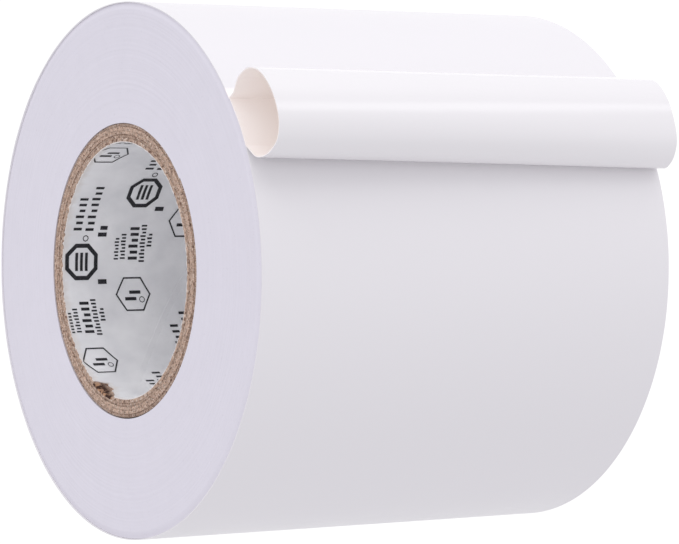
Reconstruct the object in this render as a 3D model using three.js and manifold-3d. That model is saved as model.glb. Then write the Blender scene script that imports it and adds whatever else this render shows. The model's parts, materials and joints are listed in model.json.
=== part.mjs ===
// Roll of white electrical tape on a spiral-wound paperboard core. Its free end is peeled back and
// rolled over with the adhesive outwards, and a short tail inside that loop sticks it to the roll.
//
// Millimetres. +X runs along the roll's axis, +Z is up, and the origin is the middle of the roll, on
// its axis. The loop lies on the -Y side. An angle is measured about the axis, in degrees, from -Y
// upwards, so that a place on a cross-section is an angle and a radius, or a height above the roll.
import * as THREE from "three";
import { mergeVertices } from "three/addons/utils/BufferGeometryUtils.js";
import Module from "manifold-3d";

// Driving dimensions
const ROLL_WIDTH = 76.2; // 3 in
const ROLL_RADIUS = 42.6; // outer face of the last turn, just below the peel line
const CORE_BORE_RADIUS = 20.3;
const CORE_OUTER_RADIUS = 23.25;
const LINER_THICKNESS = 0.12; // silvered paper
const KRAFT_PLIES = 5;
const FILM_THICKNESS = 0.13; // vinyl backing
const ADHESIVE_THICKNESS = 0.043;
const TURN_PITCH = 0.199; // one turn of tape with the air that it traps

// Clearances
const LAYER_GAP = 0.005; // between the film and its adhesive coat
const PLY_GAP = 0.02; // glue line between the core's plies
const CORE_GAP = 0.05; // between the core and the first turn
const END_GAP = 0.4; // round a cut end or a hinge line
const TAIL_GAP = 0.05; // between the tail and the turn under it
const LANDING_HEIGHT = 0.15; // of the loop's outer face where it comes down to the tail

// Where the free end leaves the roll and where it lands, at the near face (-X) and the far face (+X)
const PEEL_ANGLE = { near: 37.3, far: 39.7 };
const LANDING_ANGLE = { near: 25.6, far: 22.8 };
const TAIL_SPAN = 8.0; // degrees from the landing to the cut end

// The loop's outer face from the peel line round to the landing: [angle, height above the roll]
const LOOP_OUTLINE = {
  near: [
    [37.2, 1.5],
    [38.0, 3.1],
    [38.2, 4.4],
    [37.3, 6.9],
    [34.9, 9.0],
    [31.5, 10.2],
    [28.0, 10.6],
    [24.5, 10.2],
    [21.9, 8.6],
    [20.9, 5.9],
    [21.1, 3.7],
    [22.0, 2.0],
    [23.8, 0.9],
  ],
  far: [
    [39.9, 2.1],
    [39.9, 3.5],
    [38.5, 5.4],
    [35.7, 6.9],
    [31.5, 7.5],
    [27.5, 7.2],
    [23.7, 6.4],
    [21.2, 4.7],
    [20.1, 2.7],
    [20.3, 1.3],
    [21.3, 0.6],
  ],
};

// The tear in the liner's near edge, as [angle, depth from the near face]
const TEAR = [
  [240.5, -1.0],
  [242.0, 1.3],
  [243.6, 2.9],
  [245.6, 2.5],
  [248.4, 2.7],
  [251.8, 1.6],
  [256.0, 1.1],
  [260.5, -1.0],
];
const TEAR_DEPTH = 0.3; // how far it goes into the kraft behind the liner

// Fineness
const RING_SEGMENTS = 72;
const LOOP_STEPS = 44;
const TAIL_STEPS = 6;

const SIDES = ["near", "far"];
const NEAR_X = -ROLL_WIDTH / 2;
const FAR_X = ROLL_WIDTH / 2;

const MATERIALS = {
  film: new THREE.MeshStandardMaterial({ color: 0xeeedf2, roughness: 0.5, metalness: 0 }),
  adhesive: new THREE.MeshStandardMaterial({ color: 0xf0eeee, roughness: 0.25, metalness: 0 }),
  kraft: new THREE.MeshStandardMaterial({ color: 0xa58a78, roughness: 0.95, metalness: 0 }),
  liner: new THREE.MeshStandardMaterial({ color: 0xb9bbc0, roughness: 0.45, metalness: 0.3 }),
};

// ---- Cross-section helpers: a place is a Vector2 whose x is the part's Y and whose y is its Z ----

function place(angle, radius) {
  const turn = THREE.MathUtils.degToRad(angle);
  return new THREE.Vector2(-radius * Math.cos(turn), radius * Math.sin(turn));
}

// The unit vector to the left of a path at its point i, as seen from +X.
function leftOf(path, i) {
  const before = path[Math.max(i - 1, 0)];
  const after = path[Math.min(i + 1, path.length - 1)];
  const along = after.clone().sub(before).normalize();
  return new THREE.Vector2(-along.y, along.x);
}

// One layer of a strip: its two faces lie `from` and `to` to the left of the path.
function layer(path, from, to) {
  return path.map((point, i) => {
    const left = leftOf(path, i);
    return {
      right: point.clone().addScaledVector(left, from),
      left: point.clone().addScaledVector(left, to),
    };
  });
}

// A solid band that runs straight across the roll between two cross-sections, near and far, of the
// same number of stations. Each station is the band's left and right edge. A closed band is a tube.
function band(near, far, closed = false) {
  const positions = [];
  near.forEach((station, i) => {
    const corners = [
      [NEAR_X, station.left],
      [FAR_X, far[i].left],
      [FAR_X, far[i].right],
      [NEAR_X, station.right],
    ];
    corners.forEach(([x, point]) => positions.push(x, point.x, point.y));
  });
  const index = [];
  const quad = (a, b, c, d) => index.push(a, b, c, a, c, d);
  const last = near.length - 1;
  for (let i = 0; i < (closed ? last + 1 : last); i++) {
    const here = 4 * i;
    const next = 4 * (i === last ? 0 : i + 1);
    quad(here, here + 1, next + 1, next);
    quad(here + 1, here + 2, next + 2, next + 1);
    quad(here + 3, next + 3, next + 2, here + 2); // split along the same diagonal as the first
    quad(here + 3, here, next, next + 3);
  }
  if (!closed) {
    quad(3, 2, 1, 0);
    quad(4 * last, 4 * last + 1, 4 * last + 2, 4 * last + 3);
  }
  const geometry = new THREE.BufferGeometry();
  geometry.setAttribute("position", new THREE.Float32BufferAttribute(positions, 3));
  geometry.setIndex(index);
  const flat = geometry.toNonIndexed();
  flat.computeVertexNormals();
  return flat;
}

function piece(name, geometry, material) {
  const mesh = new THREE.Mesh(geometry, material);
  mesh.name = name;
  return mesh;
}

// ---- The core: a printed liner and kraft plies, each a paper tube ----

// A tube about the X axis over the roll's whole width.
function tube(innerRadius, outerRadius) {
  const profile = [
    new THREE.Vector2(innerRadius, NEAR_X),
    new THREE.Vector2(outerRadius, NEAR_X),
    new THREE.Vector2(outerRadius, FAR_X),
    new THREE.Vector2(innerRadius, FAR_X),
    new THREE.Vector2(innerRadius, NEAR_X),
  ];
  return new THREE.LatheGeometry(profile, RING_SEGMENTS).rotateZ(-Math.PI / 2);
}

const wasm = await Module();
wasm.setup();

function toSolid(geometry) {
  const bare = new THREE.BufferGeometry();
  bare.setAttribute("position", geometry.getAttribute("position"));
  bare.setIndex(geometry.index);
  const merged = mergeVertices(bare);
  const mesh = new wasm.Mesh({
    numProp: 3,
    vertProperties: merged.attributes.position.array,
    triVerts: new Uint32Array(merged.index.array),
  });
  return new wasm.Manifold(mesh);
}

function toGeometry(solid) {
  const mesh = solid.getMesh();
  const geometry = new THREE.BufferGeometry();
  geometry.setAttribute("position", new THREE.Float32BufferAttribute(mesh.vertProperties, 3));
  geometry.setIndex([...mesh.triVerts]);
  const flat = geometry.toNonIndexed();
  flat.computeVertexNormals();
  return flat;
}

// The torn-out wedge: the tear's outline drawn on the bore and carried outwards to a radius.
function tearWedge(outerRadius) {
  const middle = (TEAR[0][0] + TEAR.at(-1)[0]) / 2;
  const outline = TEAR.map(([angle, depth]) => {
    const across = CORE_BORE_RADIUS * THREE.MathUtils.degToRad(angle - middle);
    return new THREE.Vector2(across, depth);
  });
  const reach = 2; // starts this far inside the bore
  const wedge = new THREE.ExtrudeGeometry(new THREE.Shape(outline), {
    depth: outerRadius - CORE_BORE_RADIUS + reach,
    bevelEnabled: false,
  });
  const outwards = place(middle, 1);
  const forward = new THREE.Vector3(1, 0, 0);
  const out = new THREE.Vector3(0, outwards.x, outwards.y);
  const across = new THREE.Vector3().crossVectors(forward, out);
  const frame = new THREE.Matrix4().makeBasis(across, forward, out);
  frame.setPosition(out.clone().multiplyScalar(CORE_BORE_RADIUS - reach).setX(NEAR_X));
  return wedge.applyMatrix4(frame);
}

function torn(geometry, outerRadius) {
  return toGeometry(toSolid(geometry).subtract(toSolid(tearWedge(outerRadius))));
}

function core() {
  const group = new THREE.Group();
  const linerOuter = CORE_BORE_RADIUS + LINER_THICKNESS;
  const liner = torn(tube(CORE_BORE_RADIUS, linerOuter), linerOuter + TEAR_DEPTH);
  group.add(piece("core_liner", liner, MATERIALS.liner));
  const plyPitch = (CORE_OUTER_RADIUS - linerOuter) / KRAFT_PLIES;
  for (let ply = 1; ply <= KRAFT_PLIES; ply++) {
    const outer = linerOuter + ply * plyPitch;
    const inner = outer - plyPitch + PLY_GAP;
    const whole = tube(inner, outer);
    const geometry = ply === 1 ? torn(whole, linerOuter + TEAR_DEPTH) : whole;
    group.add(piece(`core_ply_${ply}`, geometry, MATERIALS.kraft));
  }
  return group;
}

// ---- The tape: a spiral that starts at the peel line and goes down, round and over the roll ----

// The radius of the last turn's outer face, a share of a turn (0 to 1) back from the peel line.
function spiralRadius(share) {
  return ROLL_RADIUS - TURN_PITCH * share;
}

// One full turn at one side of the roll, from just above the peel line round to just below it.
function turn(side, startGap, endGap, faces) {
  const stations = [];
  for (let i = 0; i <= RING_SEGMENTS; i++) {
    const share = 1 - i / RING_SEGMENTS;
    const gap = i === 0 ? startGap : i === RING_SEGMENTS ? -endGap : 0;
    const angle = PEEL_ANGLE[side] - 360 * share + gap;
    const [inner, outer] = faces(spiralRadius(share));
    stations.push({ left: place(angle, outer), right: place(angle, inner) });
  }
  return stations;
}

function turnBand(startGap, endGap, closed, faces) {
  const [near, far] = SIDES.map((side) => turn(side, startGap, endGap, faces));
  return band(near, far, closed);
}

function woundTape() {
  const stepSlope = 0.3; // degrees over which the pack steps down by one turn at the peel line
  const firstTurn = CORE_OUTER_RADIUS + CORE_GAP;
  return turnBand(0, stepSlope, true, (radius) => [firstTurn, radius - TURN_PITCH]);
}

function tapeLayers() {
  return {
    film: [0, FILM_THICKNESS],
    adhesive: [FILM_THICKNESS + LAYER_GAP, FILM_THICKNESS + LAYER_GAP + ADHESIVE_THICKNESS],
  };
}

function outerTurn(layerName) {
  const [top, bottom] = tapeLayers()[layerName];
  const startGap = THREE.MathUtils.radToDeg(END_GAP / ROLL_RADIUS);
  return turnBand(startGap, 0, false, (radius) => [radius - bottom, radius - top]);
}

// ---- The free end: the loop, and the tail that sticks it down ----

// The loop's outer face at one side, as a smooth path from the peel line to the landing.
function loopPath(side) {
  const ends = [PEEL_ANGLE[side], LANDING_ANGLE[side]];
  const outline = [[ends[0], END_GAP], ...LOOP_OUTLINE[side], [ends[1], LANDING_HEIGHT]];
  const places = outline.map(([angle, height]) => place(angle, ROLL_RADIUS + height));
  return new THREE.SplineCurve(places).getSpacedPoints(LOOP_STEPS);
}

// The adhesive is the loop's outer face, and the film is its inner face.
function loop(layerName) {
  const total = FILM_THICKNESS + LAYER_GAP + ADHESIVE_THICKNESS;
  const [top, bottom] = tapeLayers()[layerName];
  const [near, far] = SIDES.map((side) => layer(loopPath(side), total - bottom, total - top));
  return band(near, far);
}

// The tail lies on the roll with its adhesive down, from the landing up to its cut end.
function tail(layerName) {
  const total = FILM_THICKNESS + LAYER_GAP + ADHESIVE_THICKNESS;
  const [top, bottom] = tapeLayers()[layerName];
  const base = ROLL_RADIUS + TAIL_GAP + total;
  const rootGap = THREE.MathUtils.radToDeg(END_GAP / ROLL_RADIUS);
  const [near, far] = SIDES.map((side) => {
    const stations = [];
    for (let i = 0; i <= TAIL_STEPS; i++) {
      const angle = LANDING_ANGLE[side] + rootGap + ((TAIL_SPAN - rootGap) * i) / TAIL_STEPS;
      stations.push({ left: place(angle, base - top), right: place(angle, base - bottom) });
    }
    return stations;
  });
  return band(near, far);
}

const roll = new THREE.Group();
roll.add(core());
roll.add(piece("wound_tape", woundTape(), MATERIALS.film));
roll.add(piece("outer_turn_adhesive", outerTurn("adhesive"), MATERIALS.adhesive));
roll.add(piece("outer_turn_film", outerTurn("film"), MATERIALS.film));
roll.add(piece("loop_film", loop("film"), MATERIALS.film));
roll.add(piece("loop_adhesive", loop("adhesive"), MATERIALS.adhesive));
roll.add(piece("tail_film", tail("film"), MATERIALS.film));
roll.add(piece("tail_adhesive", tail("adhesive"), MATERIALS.adhesive));

export default roll;
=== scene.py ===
"""The looks of a wide roll of white vinyl electrical tape on a printed paperboard core.

Laid out as a Blender add-on. Each operator makes one piece, or a group of like pieces, around the
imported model, which stays fixed. Everything is in metres: +X runs along the roll's axis and +Z is up.
A place on a cross-section is an angle about the axis, from -Y upwards, and a radius.
"""
import json
import math

import bpy
import numpy as np
from mathutils import Euler, Matrix, Vector, noise


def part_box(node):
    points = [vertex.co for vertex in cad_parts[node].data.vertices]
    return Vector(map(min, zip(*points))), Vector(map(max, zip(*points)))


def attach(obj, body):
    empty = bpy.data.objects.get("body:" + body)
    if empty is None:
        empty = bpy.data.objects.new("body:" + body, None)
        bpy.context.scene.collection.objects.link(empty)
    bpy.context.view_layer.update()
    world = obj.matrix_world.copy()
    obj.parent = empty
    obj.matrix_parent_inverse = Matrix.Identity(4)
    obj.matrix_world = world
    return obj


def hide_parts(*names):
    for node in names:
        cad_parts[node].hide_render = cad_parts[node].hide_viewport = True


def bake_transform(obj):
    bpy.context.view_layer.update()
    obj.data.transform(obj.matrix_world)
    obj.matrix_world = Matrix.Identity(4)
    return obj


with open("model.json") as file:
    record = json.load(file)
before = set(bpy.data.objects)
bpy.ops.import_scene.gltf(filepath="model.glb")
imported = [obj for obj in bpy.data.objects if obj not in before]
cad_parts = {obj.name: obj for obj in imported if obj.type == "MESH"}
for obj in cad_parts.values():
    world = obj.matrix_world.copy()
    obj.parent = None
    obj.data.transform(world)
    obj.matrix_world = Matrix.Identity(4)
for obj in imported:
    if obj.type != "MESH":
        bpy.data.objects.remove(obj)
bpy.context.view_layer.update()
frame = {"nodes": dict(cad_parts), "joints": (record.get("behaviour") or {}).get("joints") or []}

bl_info = {
    "name": "Electrical Tape Roll",
    "version": (1, 0, 0),
    "blender": (4, 5, 0),
    "location": "3D View > Sidebar > Tape Roll",
    "description": "Makes a roll of vinyl electrical tape around its packed model",
    "category": "Object",
}

MM = 0.001


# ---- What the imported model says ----


def radii(node):
    """The smallest and largest distance of a node's corners from the roll's axis."""
    away = [math.hypot(v.co.y, v.co.z) for v in frame["nodes"][node].data.vertices]
    return min(away), max(away)


def hinge_line(joint_name):
    """A hinge line across the roll, from its joint: gives the line's point at any x."""
    joint = next(j for j in frame["joints"] if j["name"] == joint_name)
    start = Vector(joint["pos_m"])
    axis = Vector(joint["axis"])
    return lambda x: start + axis * ((x - start.x) / axis.x)


def angle_of(point):
    return math.atan2(point.z, -point.y)


NEAR_X, FAR_X = (corner.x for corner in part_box("wound_tape"))
WIDTH = FAR_X - NEAR_X
ROLL_RADIUS = radii("outer_turn_film")[1]
FIRST_TURN_RADIUS, PACK_RADIUS = radii("wound_tape")
TURN_PITCH = ROLL_RADIUS - PACK_RADIUS
FILM_THICKNESS = ROLL_RADIUS - TURN_PITCH - radii("outer_turn_film")[0]
BORE_RADIUS, LINER_OUTER_RADIUS = radii("core_liner")
KRAFT_NODES = sorted(name for name in frame["nodes"] if name.startswith("core_ply_"))

peel_line = hinge_line("free_end_lift")
landing_line = hinge_line("tail_lift")
PEEL_ANGLE = {x: angle_of(peel_line(x)) for x in (NEAR_X, FAR_X)}
LANDING_ANGLE = {x: angle_of(landing_line(x)) for x in (NEAR_X, FAR_X)}

# The free end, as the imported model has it: the loop's outer face from the peel line round to where
# it lands, as [angle in degrees, height above the roll in mm] at the near and the far face.
LOOP_OUTLINE = {
    NEAR_X: [
        (37.2, 1.5),
        (38.0, 3.1),
        (38.2, 4.4),
        (37.3, 6.9),
        (34.9, 9.0),
        (31.5, 10.2),
        (28.0, 10.6),
        (24.5, 10.2),
        (21.9, 8.6),
        (20.9, 5.9),
        (21.1, 3.7),
        (22.0, 2.0),
        (23.8, 0.9),
    ],
    FAR_X: [
        (39.9, 2.1),
        (39.9, 3.5),
        (38.5, 5.4),
        (35.7, 6.9),
        (31.5, 7.5),
        (27.5, 7.2),
        (23.7, 6.4),
        (21.2, 4.7),
        (20.1, 2.7),
        (20.3, 1.3),
        (21.3, 0.6),
    ],
}
TAIL_SPAN = math.radians(8.0)  # from the landing to the cut end
TAIL_GAP = 0.05 * MM  # between the tail and the turn under it
LAYER_GAP = 0.005 * MM  # between the film and its adhesive coat
LOOP_GLOW = 0.08  # painted glow of the film inside the loop, standing in for light that comes through it
LOOP_GLOW_COLOUR = "#FFEFE8"
ADHESIVE_THICKNESS = 0.043 * MM

# The liner's print runs along the helix on which its strip was wound. In the bore, the seam goes
# round by this angle for each metre along the axis, and meets the near face at this angle.
SEAM_ANGLE = math.radians(271.0)
SEAM_TURN = math.radians(-50.7) / (13.1 * MM)

# The liner's print repeats along its strip, and again in the next column. Each place is a distance
# along the axis from the near face and a length round the bore, in mm.
PRINT_START = (13.0, 67.7)
PRINT_REPEAT = (9.5, -12.35)
PRINT_COLUMN = (-19.9, -15.5)
PRINT_COLUMNS = 3
PRINT_LEAD = 4  # repeats that start before the first whole one

# The tear in the liner's near edge, as (angle in degrees, depth from the near face in mm)
TEAR = [
    (240.5, 0.0),
    (242.0, 1.0),
    (243.6, 2.1),
    (245.6, 1.7),
    (248.4, 2.2),
    (251.8, 1.4),
    (256.0, 1.0),
    (260.5, 0.0),
]


# ---- Colours ----


def linear(hex_colour):
    """An sRGB hex colour as linear red, green and blue."""
    parts = [int(hex_colour[i : i + 2], 16) / 255 for i in (1, 3, 5)]
    return tuple(c / 12.92 if c <= 0.04045 else ((c + 0.055) / 1.055) ** 2.4 for c in parts)


def opaque(colour):
    return (*colour, 1.0)


# ---- Settings that a user would change ----


class TapeRollSizes(bpy.types.PropertyGroup):
    turns: bpy.props.IntProperty(
        name="Turns",
        description="Turns of tape under the last one",
        default=round((PACK_RADIUS - TURN_PITCH - FIRST_TURN_RADIUS) / TURN_PITCH),
        min=4,
    )
    turn_steps: bpy.props.IntProperty(
        name="Steps per Turn",
        description="Straight stretches that make up one turn of the wound tape",
        default=200,
        min=24,
    )
    edge_relief: bpy.props.FloatProperty(
        name="Edge Relief",
        description="How far each turn's film stands proud of its adhesive on the end faces",
        default=0.008 * MM,
        unit="LENGTH",
        precision=6,
    )
    wander: bpy.props.FloatProperty(
        name="Winding Wander",
        description="How far the turns wander sideways, which makes the end faces uneven",
        default=0.05 * MM,
        unit="LENGTH",
        precision=6,
    )
    rim_recess: bpy.props.FloatProperty(
        name="Rim Recess",
        description="How far the last turns under the outer one are drawn in at the rim",
        default=0.3 * MM,
        unit="LENGTH",
        precision=6,
    )
    rim_width: bpy.props.FloatProperty(
        name="Rim Width",
        description="How much of the end face, inwards from the rim, is drawn in",
        default=1.3 * MM,
        unit="LENGTH",
        precision=6,
    )
    print_repeats: bpy.props.IntProperty(
        name="Print Repeats",
        description="How often the liner's print repeats along its strip",
        default=17,
        min=1,
    )


class TapeRollColours(bpy.types.PropertyGroup):
    film: bpy.props.FloatVectorProperty(
        name="Film",
        description="Colour of the vinyl film's outer face",
        subtype="COLOR",
        default=linear("#ECEAEC"),
        min=0,
        max=1,
    )
    film_edge: bpy.props.FloatVectorProperty(
        name="Film Edges",
        description="Colour of the slit edges that make up the end faces",
        subtype="COLOR",
        default=linear("#E7E4ED"),
        min=0,
        max=1,
    )
    adhesive: bpy.props.FloatVectorProperty(
        name="Adhesive",
        description="Colour of the adhesive coat over the white film",
        subtype="COLOR",
        default=linear("#F0EEEF"),
        min=0,
        max=1,
    )
    # The film inside the loop is the same white film, drawn lighter and warmer here as painted light that
    # comes through the loop
    film_inside_painted_light: bpy.props.FloatVectorProperty(
        name="Loop Inside Painted Light",
        description="Colour of the film's face inside the rolled-back loop",
        subtype="COLOR",
        default=linear("#FAF5F2"),
        min=0,
        max=1,
    )
    kraft: bpy.props.FloatVectorProperty(
        name="Kraft Board",
        description="Mean colour of the core's cut end",
        subtype="COLOR",
        default=linear("#B49A88"),
        min=0,
        max=1,
    )
    liner: bpy.props.FloatVectorProperty(
        name="Liner",
        description="Colour of the silver-grey paper that lines the bore",
        subtype="COLOR",
        default=linear("#F8F8FA"),
        min=0,
        max=1,
    )
    ink: bpy.props.FloatVectorProperty(
        name="Ink",
        description="Colour of the marks printed on the liner",
        subtype="COLOR",
        default=linear("#17161C"),
        min=0,
        max=1,
    )


def sizes():
    return bpy.context.scene.tape_roll_sizes


def colours():
    return bpy.context.scene.tape_roll_colours


# ---- Nodes ----


def add(tree, kind, inputs=None, **settings):
    """Adds a node with its settings. Inputs maps a socket's name or number to a value or a link."""
    made = tree.nodes.new(kind)
    for name, value in settings.items():
        setattr(made, name, value)
    for key, value in (inputs or {}).items():
        if isinstance(value, bpy.types.NodeSocket):
            tree.links.new(value, made.inputs[key])
        else:
            made.inputs[key].default_value = value
    return made


def new_material(name, **shader_inputs):
    """A material whose shader has these inputs, with its node tree and its shader."""
    material = bpy.data.materials.new(name)
    material.use_nodes = True
    tree = material.node_tree
    tree.nodes.clear()
    shader = add(tree, "ShaderNodeBsdfPrincipled", shader_inputs)
    add(tree, "ShaderNodeOutputMaterial", {"Surface": shader.outputs["BSDF"]})
    return material, tree, shader


# ---- Materials ----


def calendered_vinyl(name, colour, roughness):
    """Plasticised vinyl film from calender rolls: satin, with a faint matt grain pressed in by them.

    Film this thin lets some daylight through. Where it lies inside the loop, a faint warm painted glow
    and a lighter, warmer painted base colour stand in for that light."""
    if name in bpy.data.materials:
        return bpy.data.materials[name]
    shader_inputs = {"Roughness": roughness, "IOR": 1.53, "Emission Strength": LOOP_GLOW}
    material, tree, shader = new_material(name, **shader_inputs)
    inside = add(tree, "ShaderNodeAttribute", attribute_name="inside_loop")
    # Inside the loop the base colour turns lighter and warmer and the film glows: painted light for
    # daylight through the film
    for socket, outside, within in (
        ("Base Color", colour, colours().film_inside_painted_light),
        ("Emission Color", (0, 0, 0), linear(LOOP_GLOW_COLOUR)),
    ):
        tone_inputs = {0: inside.outputs["Fac"], 6: opaque(outside), 7: opaque(within)}
        tone = add(tree, "ShaderNodeMix", tone_inputs, data_type="RGBA")
        tree.links.new(tone.outputs[2], shader.inputs[socket])
    place = add(tree, "ShaderNodeTexCoord").outputs["Object"]
    # Real grain is about 0.05 mm. It is drawn 0.35 mm wide, as fine as it still shows.
    grain_inputs = {"Vector": place, "Scale": 1 / (0.35 * MM), "Detail": 2.0}
    grain = add(tree, "ShaderNodeTexNoise", grain_inputs)
    slack_inputs = {"Vector": place, "Scale": 1 / (9 * MM), "Detail": 1.0}
    slack = add(tree, "ShaderNodeTexNoise", slack_inputs)
    fine_inputs = {"Strength": 0.06, "Distance": 0.02 * MM, "Height": grain.outputs["Fac"]}
    fine = add(tree, "ShaderNodeBump", fine_inputs)
    coarse_inputs = {"Strength": 0.25, "Distance": 0.3 * MM, "Height": slack.outputs["Fac"]}
    coarse_inputs["Normal"] = fine.outputs["Normal"]
    coarse = add(tree, "ShaderNodeBump", coarse_inputs)
    tree.links.new(coarse.outputs["Normal"], shader.inputs["Normal"])
    patch = {"Value": slack.outputs["Fac"], "To Min": roughness - 0.05, "To Max": roughness + 0.05}
    sheen = add(tree, "ShaderNodeMapRange", patch)
    tree.links.new(sheen.outputs["Result"], shader.inputs["Roughness"])
    return material


def slit_vinyl_edges(colour):
    """Slit edges of some hundred turns of vinyl: matt, faintly ringed, with dust and nicks."""
    shader_inputs = {"Base Color": opaque(colour), "Roughness": 0.62, "IOR": 1.53}
    material, tree, shader = new_material("Slit vinyl edges", **shader_inputs)
    place = add(tree, "ShaderNodeTexCoord").outputs["Object"]
    apart = add(tree, "ShaderNodeSeparateXYZ", {"Vector": place})
    squares = []
    for axis in ("Y", "Z"):
        square = add(tree, "ShaderNodeMath", {0: apart.outputs[axis], 1: 2.0}, operation="POWER")
        squares.append(square.outputs[0])
    total = add(tree, "ShaderNodeMath", {0: squares[0], 1: squares[1]}, operation="ADD")
    radius = add(tree, "ShaderNodeMath", {0: total.outputs[0]}, operation="SQRT")
    # Tension changes every few turns, so the rings are about 0.8 mm wide.
    ring_inputs = {"W": radius.outputs[0], "Scale": 1 / (0.8 * MM), "Detail": 3.0}
    rings = add(tree, "ShaderNodeTexNoise", ring_inputs, noise_dimensions="1D")
    mottle_inputs = {"Vector": place, "Scale": 1 / (4 * MM), "Detail": 4.0, "Roughness": 0.6}
    mottle = add(tree, "ShaderNodeTexNoise", mottle_inputs)
    speck_inputs = {"Vector": place, "Scale": 1 / (0.5 * MM), "Detail": 1.0}
    specks = add(tree, "ShaderNodeTexNoise", speck_inputs)
    blend = {"Factor": 0.6, "A": rings.outputs["Fac"], "B": mottle.outputs["Fac"]}
    both = add(tree, "ShaderNodeMix", blend)
    ramp = add(tree, "ShaderNodeValToRGB", {"Fac": both.outputs["Result"]})
    ramp.color_ramp.elements[0].position = 0.3
    ramp.color_ramp.elements[0].color = opaque([c * 0.96 for c in colour])
    ramp.color_ramp.elements[1].position = 0.7
    ramp.color_ramp.elements[1].color = opaque(colour)
    nick_range = {"Value": specks.outputs["Fac"], "From Min": 0.66, "From Max": 0.74, "To Max": 0.08}
    nicks = add(tree, "ShaderNodeMapRange", nick_range)
    nicked = {0: nicks.outputs["Result"], 6: ramp.outputs["Color"], 7: opaque(linear("#9A98A2"))}
    dusty = add(tree, "ShaderNodeMix", nicked, data_type="RGBA")
    tree.links.new(dusty.outputs[2], shader.inputs["Base Color"])
    bump_inputs = {"Strength": 0.3, "Distance": 0.05 * MM, "Height": both.outputs["Result"]}
    bump = add(tree, "ShaderNodeBump", bump_inputs)
    tree.links.new(bump.outputs["Normal"], shader.inputs["Normal"])
    return material


def adhesive_coat(colour):
    """Rubber-resin adhesive, knife-coated and dried: clear and glossy, with slight coating ripples."""
    name = "Pressure-sensitive adhesive coat"
    if name in bpy.data.materials:
        return bpy.data.materials[name]
    shader_inputs = {"Base Color": opaque(colour), "Roughness": 0.2, "IOR": 1.5}
    material, tree, shader = new_material(name, **shader_inputs)
    place = add(tree, "ShaderNodeTexCoord").outputs["Object"]
    # The coater's ripples run along the strip and are some millimetres wide.
    stretched = add(tree, "ShaderNodeMapping", {"Vector": place, "Scale": (0.25, 1.0, 1.0)})
    ripple_inputs = {"Vector": stretched.outputs[0], "Scale": 1 / (5 * MM), "Detail": 2.0}
    ripples = add(tree, "ShaderNodeTexNoise", ripple_inputs)
    bump_inputs = {"Strength": 0.3, "Distance": 0.15 * MM, "Height": ripples.outputs["Fac"]}
    bump = add(tree, "ShaderNodeBump", bump_inputs)
    tree.links.new(bump.outputs["Normal"], shader.inputs["Normal"])
    return material


def cut_kraft_board(name, colour, shade, fleck_size, torn=False):
    """Recycled kraft board cut through by a knife: matt, fibrous, with dark specks and pale fibres."""
    # Shade scales the ply's colour: the ply's own tone, and for the outermost ply painted shade as well
    ground = [c * shade for c in colour]
    material, tree, shader = new_material(name, **{"Base Color": opaque(ground), "Roughness": 0.92})
    place = add(tree, "ShaderNodeTexCoord").outputs["Object"]
    # Fibres are about 0.03 mm thick. They are drawn in clumps of about 0.55 mm, which is what shows.
    clump_inputs = {"Vector": place, "Scale": 1 / (0.55 * MM), "Detail": 4.0, "Roughness": 0.7}
    clumps = add(tree, "ShaderNodeTexNoise", clump_inputs)
    ramp = add(tree, "ShaderNodeValToRGB", {"Fac": clumps.outputs["Fac"]})
    ramp.color_ramp.elements[0].position = 0.3
    ramp.color_ramp.elements[0].color = opaque([c * 0.42 for c in ground])
    ramp.color_ramp.elements[1].position = 0.68
    ramp.color_ramp.elements[1].color = opaque([min(1.0, c * 1.45) for c in ground])
    middle = ramp.color_ramp.elements.new(0.46)
    middle.color = opaque(ground)
    surface = ramp.outputs["Color"]
    for fleck, share, tone, cover in (("dark", 1.0, "#5A3625", 0.8), ("pale", 0.8, "#EFE1D4", 0.55)):
        spot_inputs = {"Vector": place, "Scale": 1 / (share * fleck_size), "Detail": 1.5}
        spots = add(tree, "ShaderNodeTexNoise", spot_inputs, label=f"Flecks, {fleck}")
        cover_inputs = {"Value": spots.outputs["Fac"], "From Min": 0.56, "From Max": 0.66}
        cover_inputs["To Max"] = cover
        covered = add(tree, "ShaderNodeMapRange", cover_inputs)
        fleck_inputs = {0: covered.outputs["Result"], 6: surface, 7: opaque(linear(tone))}
        surface = add(tree, "ShaderNodeMix", fleck_inputs, data_type="RGBA").outputs[2]
    if torn:
        mask = add(tree, "ShaderNodeAttribute", attribute_name="torn")
        # Bare fibres in patches from dark brown to pale: the dark is glue laid bare and painted shade
        # under the liner's torn edge
        shred_inputs = {"Vector": place, "Scale": 1 / (1.3 * MM), "Detail": 3.0, "Roughness": 0.65}
        shreds = add(tree, "ShaderNodeTexNoise", shred_inputs)
        ragged = add(tree, "ShaderNodeValToRGB", {"Fac": shreds.outputs["Fac"]})
        ragged.color_ramp.elements[0].position = 0.49
        ragged.color_ramp.elements[0].color = opaque(linear("#3B1F12"))
        ragged.color_ramp.elements[1].position = 0.58
        ragged.color_ramp.elements[1].color = opaque(linear("#B98F70"))
        bare_inputs = {0: mask.outputs["Fac"], 6: surface, 7: ragged.outputs["Color"]}
        bare = add(tree, "ShaderNodeMix", bare_inputs, data_type="RGBA")
        surface = bare.outputs[2]
    tree.links.new(surface, shader.inputs["Base Color"])
    bump_inputs = {"Strength": 0.9, "Distance": 0.12 * MM, "Height": clumps.outputs["Fac"]}
    bump = add(tree, "ShaderNodeBump", bump_inputs)
    tree.links.new(bump.outputs["Normal"], shader.inputs["Normal"])
    return material


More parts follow.
